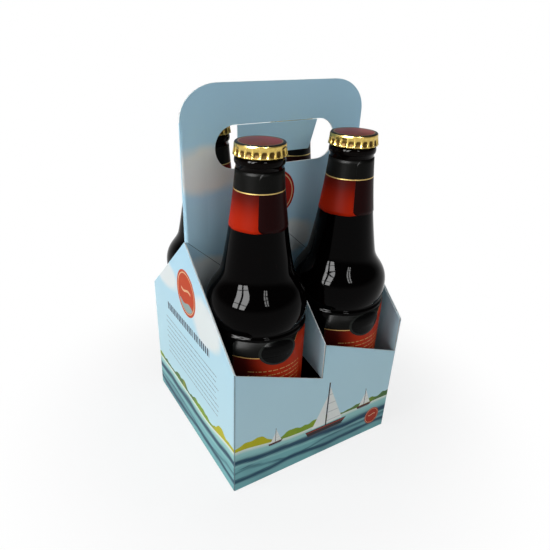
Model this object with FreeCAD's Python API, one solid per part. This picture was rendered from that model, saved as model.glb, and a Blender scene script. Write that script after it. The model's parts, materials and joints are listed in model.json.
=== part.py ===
"""Four-bottle carrier of folded carton, with its four capped bottles.

Millimetres, +Z up. The origin is at the middle of the base. X runs along the front wall,
-Y is the front, and the handle stands in the plane y = 0.
"""
import FreeCAD, Part
import math
import os
from FreeCAD import Vector as V

# Board
board = 0.55
fold_radius = 1.0
foot_radius = 0.7
seam_width = 0.4
seam_sway = 12.0

# Room round each bottle in its cell
side_slack = 0.36
depth_slack = 0.9

# Heights of the carton above the table
low_edge = 66.7
high_edge = 92.0
gable_peak = 147.3
handle_top = 233.7
partition_lift = 3.0

# Straps that tie the handle to the front and back walls
strap_root = 78.0
ply_step = 0.8
cut_margin = 1.2

# Handle
corner_reach = 22.5
corner_drop = 18.6
hole_drop = 22.0
hole_height = 24.6
hole_span = 83.0

# Folded side edges of the handle, whose two plies part towards the gable
fold_spread = 2.3
fold_rest = 0.06
fold_reach = 15.0
fold_nose = 1.4
nose_steps = 8

# Flap that folds back out of the hand hole
flap_length = 18.2
flap_width = 55.0
flap_taper = 2.2
flap_corner = 1.2
crease_gap = 0.3
flap_swing = 12.0

# Glass bottle, heights above its own base
bottle_height = 207.2
body_radius = 30.1
heel_radius = 4.0
punt_rise = 4.0
punt_ring = 24.0
punt_fullness = 0.7
glass_wall = 2.4
glass_base = 5.0
body_top = 105.2
waist_rise = 1.8
waist_depth = 1.2
shoulder_rise = 9.0
shoulder_sweep = 6.3
shoulder_fullness = 12.0
neck_root_rise = 22.1
neck_root_radius = 20.9
neck_root_lean = 0.2
neck_root_sweep = 9.0
neck_top_lean = 0.075
neck_top_radius = 12.7
collar_radius = 13.6
collar_height = 4.0
collar_groove = 1.6
finish_radius = 13.1
finish_height = 5.0
finish_round = 1.4
bore_radius = 8.8
bore_depth = 12.0

# Beer
fill_drop = 24.6
beer_gap = 0.05

# Crown cap
liner_thickness = 0.5
cap_sheet = 0.28
cap_height = 6.6
cap_disc_radius = 12.8
cap_edge_drop = 1.6
cap_radius = 14.4
flute_depth = 0.7
flute_round = 1.5
flute_count = 21

# Paper labels
paper = 0.1
neck_label_drop = 2.2
neck_label_height = 32.0
neck_lap_angle = 24.0
neck_lap_facing_angle = -106.0
neck_lap_corner = 3.0
body_label_drop = 1.0
body_label_height = 80.2
body_label_angle = 104.0
body_label_facing_angle = -94.0
body_label_corner = 4.0

# Worked out from the sizes above
cell_width = 2 * (body_radius + paper + side_slack)
cell_depth = 2 * (body_radius + paper + depth_slack)
width = 2 * cell_width + 5 * board
depth = 2 * cell_depth + 4 * board
floor_top = 2 * board
past = 5.0
quarter_handle = 0.5523
half_turn = math.sin(math.radians(45))
bottle_x = (cell_width + board) / 2
bottle_y = board + cell_depth / 2
gable_slope = (gable_peak - high_edge) / (depth / 2)
lean_slope = (high_edge - low_edge) / (width / 2)
panel_half = width / 2 - board
hole_top = handle_top - hole_drop
pivot_y = -board / 2
pivot_z = hole_top - crease_gap - board / 2
waist_height = body_top + waist_rise
shoulder_height = waist_height + shoulder_rise
neck_root_height = shoulder_height + neck_root_rise
finish_low = bottle_height - finish_height
neck_top_height = finish_low - collar_groove - collar_height
fill_height = neck_top_height - fill_drop
neck_label_top = neck_top_height - neck_label_drop
neck_label_bottom = neck_label_top - neck_label_height
body_label_top = body_top - body_label_drop
body_label_bottom = body_label_top - body_label_height
cap_rim = bottle_height + liner_thickness + cap_sheet
cap_bottom = cap_rim - cap_height

os.makedirs("parts", exist_ok=True)


def block(x0, x1, y0, y1, z0, z1):
    """A box between two corners."""
    return Part.makeBox(x1 - x0, y1 - y0, z1 - z0, V(x0, y0, z0))


def plate(points, push):
    """A flat outline pushed into a solid."""
    return Part.Face(Part.makePolygon(points + points[:1])).extrude(push)


def turned(shape, angle=180.0):
    """A copy turned about the upright axis through the origin."""
    other = shape.copy()
    other.rotate(V(0, 0, 0), V(0, 0, 1), angle)
    return other


def gable(y):
    """Height of the side wall's edge at a depth y."""
    return gable_peak - gable_slope * abs(y)


def tube_and_floor():
    """Four walls and the two-ply floor, with their folds rounded."""
    outer = block(-width / 2, width / 2, -depth / 2, depth / 2, 0, gable_peak)
    upright = [e for e in outer.Edges if abs(e.Vertexes[0].Z - e.Vertexes[-1].Z) > board]
    outer = outer.makeFillet(fold_radius, upright)
    foot = [e for e in outer.Edges if max(v.Z for v in e.Vertexes) < board]
    outer = outer.makeFillet(foot_radius, foot)
    inner = block(board - width / 2, width / 2 - board, board - depth / 2, depth / 2 - board,
                  floor_top, gable_peak + past)
    return outer.cut(inner)


def above_gables():
    """Everything above the two gabled side walls."""
    x = -width / 2 - past
    y = depth / 2 + past
    points = [V(x, -y, gable(y)), V(x, 0, gable_peak), V(x, y, gable(y)),
              V(x, y, gable_peak + past), V(x, -y, gable_peak + past)]
    return plate(points, V(width + 2 * past, 0, 0))


def above_front_wall():
    """Everything above the front wall, whose edge is two slopes with a step between."""
    y = -depth / 2 - past
    left = fold_radius - width / 2
    right = width / 2 - fold_radius
    step = -board / 2
    drop = lean_slope * (width / 2 - fold_radius)
    points = [V(left, y, low_edge + drop), V(step, y, low_edge), V(step, y, high_edge),
              V(right, y, high_edge - drop), V(right, y, gable_peak + past),
              V(left, y, gable_peak + past)]
    return plate(points, V(0, past + board, 0))


def strap_outline(x, y_end, sink):
    """The strap's edges at x, from the front wall to y_end, its top sunk below the gable."""
    y = board - depth / 2
    return [V(x, y, low_edge), V(x, y_end, strap_root), V(x, y_end, gable(y_end) - sink),
            V(x, y, gable(y) - sink)]


def side_ply(side):
    """The strap, or the glued flap of the same shape, on the inside of a side wall."""
    x = -width / 2 + board if side < 0 else width / 2 - 2 * board
    return plate(strap_outline(x, -board, ply_step), V(board, 0, 0))


def centre_strap():
    """The strap between the two front cells, folded in from the front wall."""
    return plate(strap_outline(-board / 2, -board, 0), V(board, 0, 0))


def strap_fold():
    """The sharp corner that the fold at the centre strap takes off the front wall."""
    x = -board / 2
    y = -depth / 2
    corner = block(x, x + fold_radius, y, y + fold_radius, low_edge, high_edge + past)
    bend = Part.makeCylinder(fold_radius, high_edge + past - low_edge,
                             V(x + fold_radius, y + fold_radius, low_edge))
    return corner.cut(bend)


def strap_recess(x0, reach):
    """The place in the handle's front ply that a strap was cut from."""
    last = min(depth / 2 - 2 * board, reach)
    points = [V(x0, 0, strap_root), V(x0, 0, gable_peak), V(x0 + last, 0, gable(last)),
              V(x0 + last, 0, strap_root - (strap_root - low_edge) * last / (depth / 2))]
    return plate(points, V(0, -past, 0))


def hand_hole():
    """The long round-ended hole through both plies of the handle."""
    radius = hole_height / 2
    z = hole_top - radius
    straight = hole_span / 2 - radius
    hole = block(-straight, straight, -past, past, z - radius, z + radius)
    for x in (-straight, straight):
        hole = hole.fuse(Part.makeCylinder(radius, 2 * past, V(x, -past, z), V(0, 1, 0)))
    return hole


def handle_outline():
    """The panel's outline, with its top corners drawn as quarter ovals."""
    low = floor_top + partition_lift
    side = handle_top - corner_drop
    top = panel_half - corner_reach
    reach = V(corner_reach * quarter_handle, 0, 0)
    drop = V(0, 0, corner_drop * quarter_handle)
    left_side = V(-panel_half, -board, side)
    left_top = V(-top, -board, handle_top)
    right_top = V(top, -board, handle_top)
    right_side = V(panel_half, -board, side)
    edges = [swoop(left_side, drop, reach, left_top),
             Part.LineSegment(left_top, right_top).toShape(),
             swoop(right_top, reach, -drop, right_side)]
    foot = [right_side, V(panel_half, -board, low), V(-panel_half, -board, low), left_side]
    edges += [Part.LineSegment(a, b).toShape() for a, b in zip(foot, foot[1:])]
    return Part.Face(Part.Wire(edges))


def fold_ring(z, spread, inset):
    """Outline of the left folded edge at a height, drawn in from its outer faces by an inset."""
    nose = fold_nose - inset
    points = [V(fold_reach - panel_half - inset, inset - board, z)]
    for step in range(nose_steps + 1):
        turn = math.radians(180 * step / nose_steps - 90)
        points.append(V(inset - panel_half + nose * (1 - math.cos(turn)),
                        (spread - inset) * math.sin(turn), z))
    points.append(V(fold_reach - panel_half - inset, board - inset, z))
    return Part.makePolygon(points + points[:1])


def spread_fold(inset, past_ends):
    """The folded edge from the gable up to the handle's corner, drawn in by an inset."""
    low = gable_peak - past_ends
    high = handle_top - corner_drop + past_ends
    return Part.makeLoft([fold_ring(low, fold_spread, inset),
                          fold_ring(high, board + fold_rest, inset)], True, True)


def handle():
    """The two-ply panel between front and back cells, which rises into the handle."""
    panel = handle_outline().extrude(V(0, 2 * board, 0))
    fold = spread_fold(0, 0)
    hollow = spread_fold(board - fold_rest / 2, fold_rest)
    panel = panel.fuse([fold, turned(fold)]).cut([hollow, turned(hollow)])
    inner_left = board - panel_half
    cuts = [strap_recess(inner_left, -inner_left - board / 2 - cut_margin),
            strap_recess(board / 2, panel_half - 1.5 * board - cut_margin)]
    for cut in cuts:
        panel = panel.cut(cut)
        panel = panel.cut(turned(cut))
    return panel.cut(hand_hole())


def floor_seam():
    """The gap in the outer floor ply, where the front and back flaps meet in a lazy S."""
    half = seam_width / 2
    side = width / 2 - fold_radius
    line = [(-side, seam_sway), (-seam_sway, seam_sway), (seam_sway, -seam_sway), (side, -seam_sway)]
    low = [V(x, y - half, -past) for x, y in line]
    high = [V(x, y + half, -past) for x, y in reversed(line)]
    return plate(low + high, V(0, 0, past + board))


def carton():
    """The whole blank as it is folded and glued: walls, floor, straps and handle."""
    body = tube_and_floor().cut(above_gables())
    body = body.cut(above_front_wall()).cut(turned(above_front_wall()))
    pieces = [handle()]
    for piece in (side_ply(-1), side_ply(1), centre_strap()):
        pieces += [piece, turned(piece)]
    body = body.fuse(pieces)
    for cut in (strap_fold(), turned(strap_fold()), floor_seam()):
        body = body.cut(cut)
    return body.removeSplitter()


def hand_hole_flap():
    """The flap of the front ply, hanging from its crease and swung a little back."""
    radius = board / 2
    half = flap_width / 2
    foot = half - flap_taper
    z = pivot_z - flap_length
    points = [V(-half, pivot_y - radius, pivot_z), V(half, pivot_y - radius, pivot_z),
              V(foot, pivot_y - radius, z), V(-foot, pivot_y - radius, z)]
    leaf = plate(points, V(0, board, 0))
    corners = [e for e in leaf.Edges
               if max(v.Z for v in e.Vertexes) < z + board
               and abs(e.Vertexes[0].Y - e.Vertexes[-1].Y) > radius]
    leaf = leaf.makeFillet(flap_corner, corners)
    crease = Part.makeCylinder(radius, flap_width, V(-half, pivot_y, pivot_z), V(1, 0, 0))
    leaf = leaf.fuse(crease).removeSplitter()
    leaf.rotate(V(0, pivot_y, pivot_z), V(1, 0, 0), flap_swing)
    return leaf


def swoop(start, leave, arrive, end):
    """A smooth edge from start to end, drawn by its two handles."""
    curve = Part.BezierCurve()
    curve.setPoles([start, start + leave, end - arrive, end])
    return curve.toShape()


def neck_curve(swell):
    """The edges from the body over the waist and shoulder and up the neck, swollen by a thickness."""
    body = V(body_radius + swell, 0, body_top)
    waist = V(body_radius - waist_depth + swell, 0, waist_height)
    widest = V(body_radius + swell, 0, shoulder_height)
    root = V(neck_root_radius + swell, 0, neck_root_height)
    top = V(neck_top_radius + swell, 0, neck_top_height)
    third = (neck_top_height - neck_root_height) / 3
    return [swoop(body, V(0, 0, waist_rise / 2), V(0, 0, waist_rise / 2), waist),
            swoop(waist, V(0, 0, waist_rise / 2), V(0, 0, shoulder_sweep), widest),
            swoop(widest, V(0, 0, shoulder_fullness),
                  V(-neck_root_lean, 0, 1) * neck_root_sweep, root),
            swoop(root, V(-neck_root_lean, 0, 1) * third, V(-neck_top_lean, 0, 1) * third, top)]


def lines(points):
    """Straight edges through points of the half section."""
    return [Part.LineSegment(V(*a), V(*b)).toShape() for a, b in zip(points, points[1:])]


def arc(a, b, c):
    """A round edge through three points of the half section."""
    return Part.Arc(V(*a), V(*b), V(*c)).toShape()


def round_corner(centre, radius, start, end):
    """A quarter round from one angle to another, in degrees, about a centre."""
    points = []
    for angle in (start, (start + end) / 2, end):
        turn = math.radians(angle)
        points.append((centre[0] + radius * math.cos(turn), 0, centre[1] + radius * math.sin(turn)))
    return arc(*points)


def glass_outline():
    """Half section of the bottle's outside, closed along its axis."""
    heel = body_radius - heel_radius
    collar_low = neck_top_height
    collar_high = collar_low + collar_height
    edges = [arc((0, 0, punt_rise), (punt_ring * punt_fullness, 0, punt_rise / 2), (punt_ring, 0, 0))]
    edges += lines([(punt_ring, 0, 0), (heel, 0, 0)])
    edges += [round_corner((heel, heel_radius), heel_radius, -90, 0)]
    edges += lines([(body_radius, 0, heel_radius), (body_radius, 0, body_top)])
    edges += neck_curve(0)
    edges += [arc((neck_top_radius, 0, collar_low),
                  (collar_radius, 0, (collar_low + collar_high) / 2),
                  (neck_top_radius, 0, collar_high))]
    edges += lines([(neck_top_radius, 0, collar_high), (neck_top_radius, 0, finish_low),
                    (finish_radius, 0, finish_low), (finish_radius, 0, bottle_height - finish_round)])
    mouth = finish_radius - finish_round
    edges += [round_corner((mouth, bottle_height - finish_round), finish_round, 0, 90)]
    edges += lines([(mouth, 0, bottle_height), (0, 0, bottle_height), (0, 0, punt_rise)])
    return Part.Face(Part.Wire(edges))


def cavity_outline(gap):
    """Half section of the bottle's inside, drawn in by a gap all round."""
    side = body_radius - glass_wall - gap
    low = glass_base + gap
    heel = side - heel_radius
    throat = neck_top_radius - glass_wall - gap
    bore = bore_radius - gap
    mouth = bottle_height - bore_depth
    edges = [arc((0, 0, low + punt_rise), (heel * punt_fullness, 0, low + punt_rise / 2), (heel, 0, low))]
    edges += [round_corner((heel, low + heel_radius), heel_radius, -90, 0)]
    edges += lines([(side, 0, low + heel_radius), (side, 0, body_top)])
    edges += neck_curve(-glass_wall - gap)
    edges += lines([(throat, 0, neck_top_height), (bore, 0, max(mouth, neck_top_height) + board),
                    (bore, 0, bottle_height + past), (0, 0, bottle_height + past),
                    (0, 0, low + punt_rise)])
    return Part.Face(Part.Wire(edges))


def spun(face, angle=360.0, start=0.0):
    """A half section spun about the bottle's axis."""
    solid = face.revolve(V(0, 0, 0), V(0, 0, 1), angle)
    return turned(solid, start)


def band(radius, z0, z1):
    """A rectangle of the half section, from the axis out to a radius."""
    return Part.Face(Part.makePolygon([V(0, 0, z0), V(radius, 0, z0), V(radius, 0, z1),
                                       V(0, 0, z1), V(0, 0, z0)]))


def glass():
    """The hollow glass bottle."""
    return spun(glass_outline().cut(cavity_outline(0)))


def beer():
    """What fills the bottle, up to the fill height."""
    return spun(cavity_outline(beer_gap).common(band(body_radius, 0, fill_height)))


def wrapped(z0, z1, layer):
    """Half section of one layer of paper on the glass."""
    shapes = []
    for swell in (layer * paper, (layer + 1) * paper):
        edges = lines([(body_radius + swell, 0, 0), (body_radius + swell, 0, body_top)])
        edges += neck_curve(swell)
        edges += lines([(neck_top_radius + swell, 0, neck_top_height), (0, 0, neck_top_height),
                        (0, 0, 0), (body_radius + swell, 0, 0)])
        shapes.append(Part.Face(Part.Wire(edges)))
    return shapes[1].cut(shapes[0]).common(band(body_radius + past, z0, z1))


def corner_cutter(radius, z, turn, size, across, upward):
    """What a rounded corner takes off a sheet that lies on a round face."""
    tool = block(0, radius + past, 0, size, 0, size)
    tool = tool.cut(Part.makeCylinder(size, radius + past, V(0, 0, 0), V(1, 0, 0)))
    tool.translate(V(0, -size, -size))
    if across > 0:
        tool = tool.mirror(V(0, 0, 0), V(0, 1, 0))
    if upward < 0:
        tool = tool.mirror(V(0, 0, 0), V(0, 0, 1))
    tool = tool.mirror(V(0, 0, 0), V(0, 1, 0))
    tool.translate(V(0, 0, z))
    return turned(tool, turn)


def rounded_sheet(section, turn, angle, size, z0, z1, radius):
    """A curved sheet with rounded corners, centred on a turn about the axis."""
    sheet = spun(section, angle, turn - angle / 2)
    for z, upward in ((z0, -1), (z1, 1)):
        for across in (-1, 1):
            sheet = sheet.cut(corner_cutter(radius, z, turn + across * angle / 2, size, across, upward))
    return sheet


def body_label():
    """The label on the front of the bottle's body."""
    section = wrapped(body_label_bottom, body_label_top, 0)
    return rounded_sheet(section, body_label_facing_angle, body_label_angle, body_label_corner,
                         body_label_bottom, body_label_top, body_radius)


def neck_label():
    """The label round the neck, with its end lapped over its start."""
    ring = spun(wrapped(neck_label_bottom, neck_label_top, 0))
    section = wrapped(neck_label_bottom, neck_label_top, 1)
    lap = rounded_sheet(section, neck_lap_facing_angle, neck_lap_angle, neck_lap_corner,
                        neck_label_bottom, neck_label_top, body_radius)
    return ring.fuse(lap)


def cap_solid(inset):
    """The solid inside the cap's flat top, round edge and flared skirt, drawn in by an inset."""
    top = cap_rim - inset
    edge = cap_rim - cap_edge_drop
    shoulder = cap_radius - flute_depth - inset
    disc = cap_disc_radius - inset
    bulge = (disc + (shoulder - disc) * half_turn, 0, edge + (top - edge) * half_turn)
    edges = lines([(0, 0, cap_bottom), (0, 0, top), (disc, 0, top)])
    edges += [arc((disc, 0, top), bulge, (shoulder, 0, edge))]
    edges += lines([(shoulder, 0, edge), (cap_radius - inset, 0, cap_bottom), (0, 0, cap_bottom)])
    return spun(Part.Face(Part.Wire(edges)))


def flutes(inset):
    """The round grooves between the skirt's teeth, which deepen towards its edge."""
    radius = flute_round + inset
    low = V(cap_radius - flute_depth + flute_round, 0, cap_bottom)
    high = V(cap_radius - flute_depth + flute_round, 0, cap_rim - cap_edge_drop)
    groove = Part.makeCylinder(radius, (high - low).Length, low, high - low)
    return [turned(groove, 360 * n / flute_count) for n in range(flute_count)]


def crown_cap():
    """The crimped steel cap, a thin shell with flutes round its skirt."""
    outside = cap_solid(0).cut(flutes(0))
    inside = cap_solid(cap_sheet).cut(flutes(cap_sheet))
    return outside.cut(inside)


def cap_liner():
    """The soft disc that seals the cap on the glass."""
    return Part.makeCylinder(cap_disc_radius - cap_sheet, liner_thickness, V(0, 0, bottle_height))


def export(name, shape):
    """Writes one piece as its own node."""
    shape.exportStep("parts/" + name + ".step")


export("carton", carton())
export("hand_hole_flap", hand_hole_flap())

bottle_pieces = {"glass_bottle": glass(), "beer": beer(), "crown_cap": crown_cap(),
                 "cap_liner": cap_liner(), "neck_label": neck_label(), "body_label": body_label()}
for row, y in (("front", -bottle_y), ("back", bottle_y)):
    for column, x in (("left", -bottle_x), ("right", bottle_x)):
        for piece, shape in bottle_pieces.items():
            placed = shape.copy()
            placed.translate(V(x, y, floor_top))
            export(piece + "_" + row + "_" + column, placed)
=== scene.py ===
"""Looks of the folded bottle carrier: printed board, brown glass, labels and crown caps.

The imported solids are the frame. The carton and its flap keep their own solids and get a print;
each bottle's glass, cap and labels are remade as finer meshes in the same places.
"""
from __future__ import annotations

import json
import logging
import math
from dataclasses import dataclass, field
from enum import Enum
from typing import Callable, Sequence, Union

import bmesh
import bpy
from bmesh.types import BMesh, BMVert
from bpy.types import Material, Node, NodeSocket, NodeTree, Object
from mathutils import Matrix, Vector

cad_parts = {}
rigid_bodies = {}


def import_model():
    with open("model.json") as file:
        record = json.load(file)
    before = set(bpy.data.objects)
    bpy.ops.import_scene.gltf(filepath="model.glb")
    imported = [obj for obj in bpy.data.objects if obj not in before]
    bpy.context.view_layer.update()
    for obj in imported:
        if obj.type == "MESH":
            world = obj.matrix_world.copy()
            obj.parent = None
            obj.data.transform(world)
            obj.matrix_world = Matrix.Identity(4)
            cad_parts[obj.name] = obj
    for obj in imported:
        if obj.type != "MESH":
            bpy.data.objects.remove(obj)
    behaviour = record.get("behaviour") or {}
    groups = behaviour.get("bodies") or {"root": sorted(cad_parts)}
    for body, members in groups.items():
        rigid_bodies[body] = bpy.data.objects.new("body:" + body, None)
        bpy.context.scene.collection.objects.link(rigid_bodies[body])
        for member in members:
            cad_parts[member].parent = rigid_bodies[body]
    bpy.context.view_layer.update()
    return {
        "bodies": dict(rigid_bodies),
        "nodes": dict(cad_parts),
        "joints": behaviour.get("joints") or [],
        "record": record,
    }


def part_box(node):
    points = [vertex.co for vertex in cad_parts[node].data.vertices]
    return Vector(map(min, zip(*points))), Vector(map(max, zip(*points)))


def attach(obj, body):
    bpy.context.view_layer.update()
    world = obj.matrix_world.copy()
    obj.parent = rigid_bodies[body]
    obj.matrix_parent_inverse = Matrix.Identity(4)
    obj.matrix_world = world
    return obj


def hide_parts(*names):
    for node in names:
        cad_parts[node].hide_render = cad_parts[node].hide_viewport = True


LOG = logging.getLogger("carrier")
MM = 0.001
PHOTO_WIDTH = 550.0
Colour = tuple[float, float, float, float]
Point = tuple[float, float]
WHITE: Colour = (1.0, 1.0, 1.0, 1.0)


def ink(*levels: float) -> Colour:
    """Turn a screen colour into the linear light that a shader takes.

    Args:
        *levels: Red, green and blue from 0 to 255.

    Returns:
        Linear red, green and blue, and an alpha of 1.
    """
    shares = (level / 255.0 for level in levels)
    return *(s / 12.92 if s <= 0.04045 else ((s + 0.055) / 1.055) ** 2.4 for s in shares), 1.0


def operator(operation: str, swapped: bool = False) -> Callable[[Value, Term], Value]:
    """Make one of a value's operators from a Math node.

    Args:
        operation: The Math node's operation.
        swapped: Whether the other term stands first, as in 1 - value.

    Returns:
        The method that Python calls for the operator.
    """
    def apply(value: Value, other: Term) -> Value:
        """Add the Math node on the two terms."""
        return value.tree.maths(operation, *((other, value) if swapped else (value, other)))

    return apply


class Value:
    """A number on a node's socket that takes part in Python expressions.

    A comparison gives 1 or 0, a product is both of two masks, and | is either of them.
    """

    __add__ = __radd__ = operator("ADD")
    __sub__ = operator("SUBTRACT")
    __rsub__ = operator("SUBTRACT", swapped=True)
    __mul__ = __rmul__ = operator("MULTIPLY")
    __truediv__ = operator("DIVIDE")
    __rtruediv__ = operator("DIVIDE", swapped=True)
    __pow__ = operator("POWER")
    __mod__ = operator("FLOORED_MODULO")
    __gt__ = operator("GREATER_THAN")
    __lt__ = operator("LESS_THAN")
    __or__ = __ror__ = operator("MAXIMUM")

    def __init__(self, tree: Tree, socket: NodeSocket) -> None:
        """Wrap an output socket of a tree."""
        self.tree = tree
        self.socket = socket

    def __neg__(self) -> Value:
        """This value with its sign turned."""
        return self * -1.0

    def __abs__(self) -> Value:
        """This value without its sign."""
        return self.tree.maths("ABSOLUTE", self)

    def between(self, low: Term, high: Term) -> Value:
        """1 where this value lies between two others, else 0."""
        return (self > low) * (self < high)


Term = Union[Value, float]
Tint = Union[Value, Colour]


class Tree:
    """A node tree while it is being written, for a material, the world or the crimping."""

    def __init__(self, graph: NodeTree) -> None:
        """Empty a tree to write it anew."""
        self.graph = graph
        self.graph.nodes.clear()

    def node(self, kind: str, settings: dict | None = None, inputs: dict | None = None) -> Node:
        """Add a node.

        Args:
            kind: The node's type.
            settings: Its properties, such as a Math node's operation.
            inputs: Values, links or colours for its sockets, by name or number.

        Returns:
            The new node.
        """
        made = self.graph.nodes.new(kind)
        for key, setting in (settings or {}).items():
            setattr(made, key, setting)
        for key, term in (inputs or {}).items():
            if isinstance(term, Value):
                self.graph.links.new(term.socket, made.inputs[key])
            else:
                made.inputs[key].default_value = term
        return made

    def output(self, node: Node, key: Union[int, str] = 0) -> Value:
        """One of a node's outputs as a value."""
        return Value(self, node.outputs[key])

    def maths(self, operation: str, *terms: Term) -> Value:
        """One Math node on one, two or three terms."""
        return self.output(self.node("ShaderNodeMath", {"operation": operation}, dict(enumerate(terms))))

    def parts(self, vector: Value) -> tuple[Value, Value, Value]:
        """The three parts of a vector."""
        split = self.node("ShaderNodeSeparateXYZ", inputs={0: vector})
        return self.output(split, 0), self.output(split, 1), self.output(split, 2)

    def point(self, x: Term, y: Term, z: Term = 0.0) -> Value:
        """A vector from three terms."""
        return self.output(self.node("ShaderNodeCombineXYZ", inputs={0: x, 1: y, 2: z}))

    def blend(self, share: Term, under: Node, over: Node) -> Node:
        """One shader laid over another by a share from 0 to 1."""
        shaders = {0: share, 1: self.output(under), 2: self.output(over)}
        return self.node("ShaderNodeMixShader", inputs=shaders)


class Paint(Tree):
    """A material's node tree while it is being written."""

    rule_width: float = 0.2

    def __init__(self, name: str) -> None:
        """Start an empty material.

        Args:
            name: The material's name.
        """
        self.material = bpy.data.materials.new(name)
        self.material.use_nodes = True
        super().__init__(self.material.node_tree)
        self.place = self.node("ShaderNodeTexCoord")

    @property
    def where(self) -> Value:
        """Object coordinates in metres, as a vector."""
        return self.output(self.place, "Object")

    def axes(self, source: str) -> tuple[Value, Value, Value]:
        """The three parts of one of Texture Coordinate's outputs."""
        return self.parts(self.output(self.place, source))

    def millimetres(self) -> tuple[Value, Value, Value]:
        """Object coordinates in millimetres."""
        x, y, z = self.axes("Object")
        return x / MM, y / MM, z / MM

    def noise(self, where: Value, scale: float, detail: float = 2.0, roughness: float = 0.5) -> Value:
        """Add smooth noise.

        Args:
            where: Place in the noise, as a vector.
            scale: Features to the unit.
            detail: Finer layers over them.
            roughness: How strong the finer layers are.

        Returns:
            A value from 0 to 1.
        """
        made = self.node("ShaderNodeTexNoise", {"noise_dimensions": "3D"},
                         {"Vector": where, "Scale": scale, "Detail": detail, "Roughness": roughness})
        return self.output(made, "Fac")

    def rise(self, value: Term, low: float, high: float) -> Value:
        """Add a smooth step.

        Args:
            value: What is measured.
            low: Where the step gives 0.
            high: Where it gives 1.

        Returns:
            A value from 0 to 1.
        """
        made = self.node("ShaderNodeMapRange", {"interpolation_type": "SMOOTHSTEP"},
                         {"Value": value, "From Min": low, "From Max": high, "To Min": 0.0, "To Max": 1.0})
        return self.output(made)

    def mix(self, share: Term, under: Tint, over: Tint) -> Value:
        """One colour laid over another by a share from 0 to 1."""
        made = self.node("ShaderNodeMix", {"data_type": "RGBA"}, {0: share, 6: under, 7: over})
        return self.output(made, 2)

    def stack(self, ground: Tint, *layers: tuple[Term, Tint]) -> Value:
        """Lay several colours one over the other.

        Args:
            ground: The colour under them all.
            *layers: Each layer's mask and colour, from the lowest to the top.

        Returns:
            The colour that is seen.
        """
        colour = ground
        for share, over in layers:
            colour = self.mix(share, colour, over)
        return colour

    def rules(self, along: Value, row: Value, jump: float, gaps: float) -> Value:
        """Mask of thin ruled lines, one at the foot of each row and broken by gaps.

        Args:
            along: Place along the lines, in units of the breaks' length.
            row: Place up them, in rows.
            jump: How far the breaks shift from one row to the next.
            gaps: The share of noise under which a line is broken.

        Returns:
            1 on a line, else 0.
        """
        broken = self.noise(self.point(along, self.maths("FLOOR", row) * jump), 1.0, 0.0)
        return (row % 1.0 < self.rule_width) * (broken > gaps)

    def finish(self, grain: Value | None = None, depth: float = 0.0,
               **inputs: Tint | float) -> Material:
        """Close the tree with the main shader.

        Args:
            grain: A height from 0 to 1 that the surface follows, if any.
            depth: The depth of that grain in metres.
            **inputs: The shader's sockets, with underscores for the spaces in their names.

        Returns:
            The finished material.
        """
        named = {key.replace("_", " "): term for key, term in inputs.items()}
        if grain is not None:
            named["Normal"] = self.output(self.node("ShaderNodeBump", inputs={
                "Height": grain, "Distance": depth, "Strength": 1.0}))
        shader = self.node("ShaderNodeBsdfPrincipled", inputs=named)
        self.node("ShaderNodeOutputMaterial", inputs={"Surface": self.output(shader)})
        return self.material


@dataclass(frozen=True)
class Carton:
    """The folded blank's sizes in millimetres and its dressing."""

    board: float = 0.55
    gable_peak: float = 147.3
    node: str = "carton"
    flap: str = "hand_hole_flap"

    def half(self, axis: int) -> float:
        """Half the carton's reach along an axis, in millimetres."""
        low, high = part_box(self.node)
        return (high[axis] - low[axis]) / MM / 2

    def dress(self, frame: dict) -> None:
        """Give the carton and its flap their print.
        """
        wear(frame["nodes"][self.node], PrintedBoard(carton=self).make())
        wear(frame["nodes"][self.flap], FlapBoard().make())
        LOG.info("dressed %s and %s", self.node, self.flap)


@dataclass(frozen=True)
class Face:
    """One printed face: the paint, millimetres along and up it, and the mask of where it is."""

    paint: Paint
    along: Value
    up: Value
    mask: Value

    def about(self, along: float, up: float, width: float, height: float) -> tuple[Value, Value]:
        """Place on the face, counted from a spot in shares of a width and a height."""
        return (self.along - along) / width, (self.up - up) / height

    def stack(self, ground: Value, *layers: tuple[Term, Colour]) -> Value:
        """Lay several colours one over the other on this face alone."""
        return self.paint.stack(ground, *((self.mask * share, colour) for share, colour in layers))


@dataclass(frozen=True)
class Cloud:
    """A soft cloud on one of the board's faces, in millimetres along and up the face."""

    along: float
    height: float
    reach: float
    rise: float
    fray: float = 1.7
    rim: float = 0.7
    cover: float = 0.85

    def lay(self, face: Face, ground: Value, drift: Value, colour: Colour) -> Value:
        """Lay the cloud over the sky.

        Args:
            face: The face that has it.
            ground: The sky under it.
            drift: Noise from 0 to 1 that frays its rim.
            colour: The cloud's colour.

        Returns:
            The sky with the cloud.
        """
        across, up = face.about(self.along, self.height, self.reach, self.rise)
        inside = 1.0 - across * across - up * up + (drift - 0.5) * self.fray
        return face.stack(ground, (face.paint.rise(inside, 0.0, self.rim) * self.cover, colour))


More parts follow.
